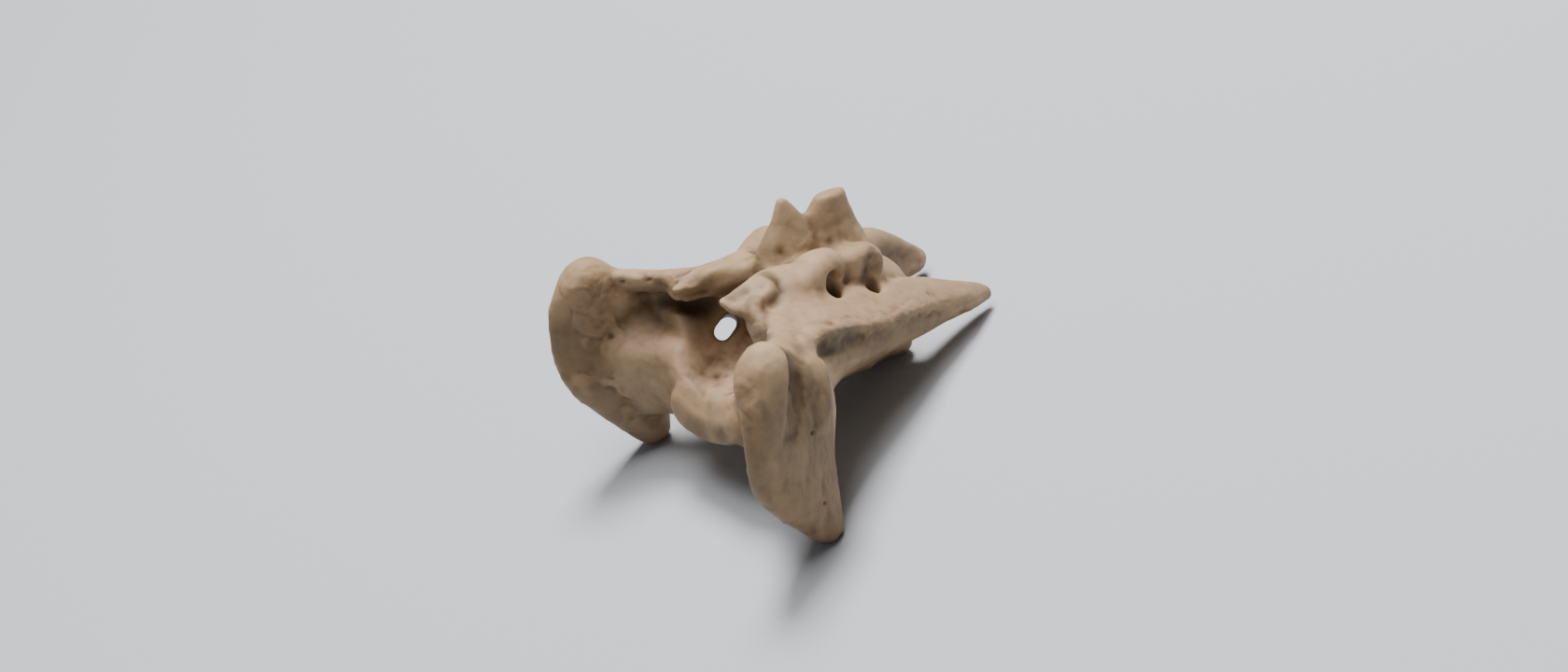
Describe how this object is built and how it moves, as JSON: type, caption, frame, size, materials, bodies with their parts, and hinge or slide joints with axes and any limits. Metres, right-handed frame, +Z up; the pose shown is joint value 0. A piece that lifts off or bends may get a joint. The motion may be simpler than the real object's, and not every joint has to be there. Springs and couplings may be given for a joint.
{
  "type": "cat sacrum",
  "caption": "Life-size cat sacrum: fused vertebrae with flared wings, spines and rear horns, lying on its underside.",
  "frame": {"origin": "centre of the bounding box on the floor the bone lies on", "axes": "+X towards the animal's left, +Y towards the tail, +Z up"},
  "size_m": [0.0312, 0.0326, 0.02],
  "materials": {
    "bone": "matte, slightly rough dry bone"
  },
  "bodies": {
    "root": {"sacrum": "bone"}
  },
  "joints": []
}
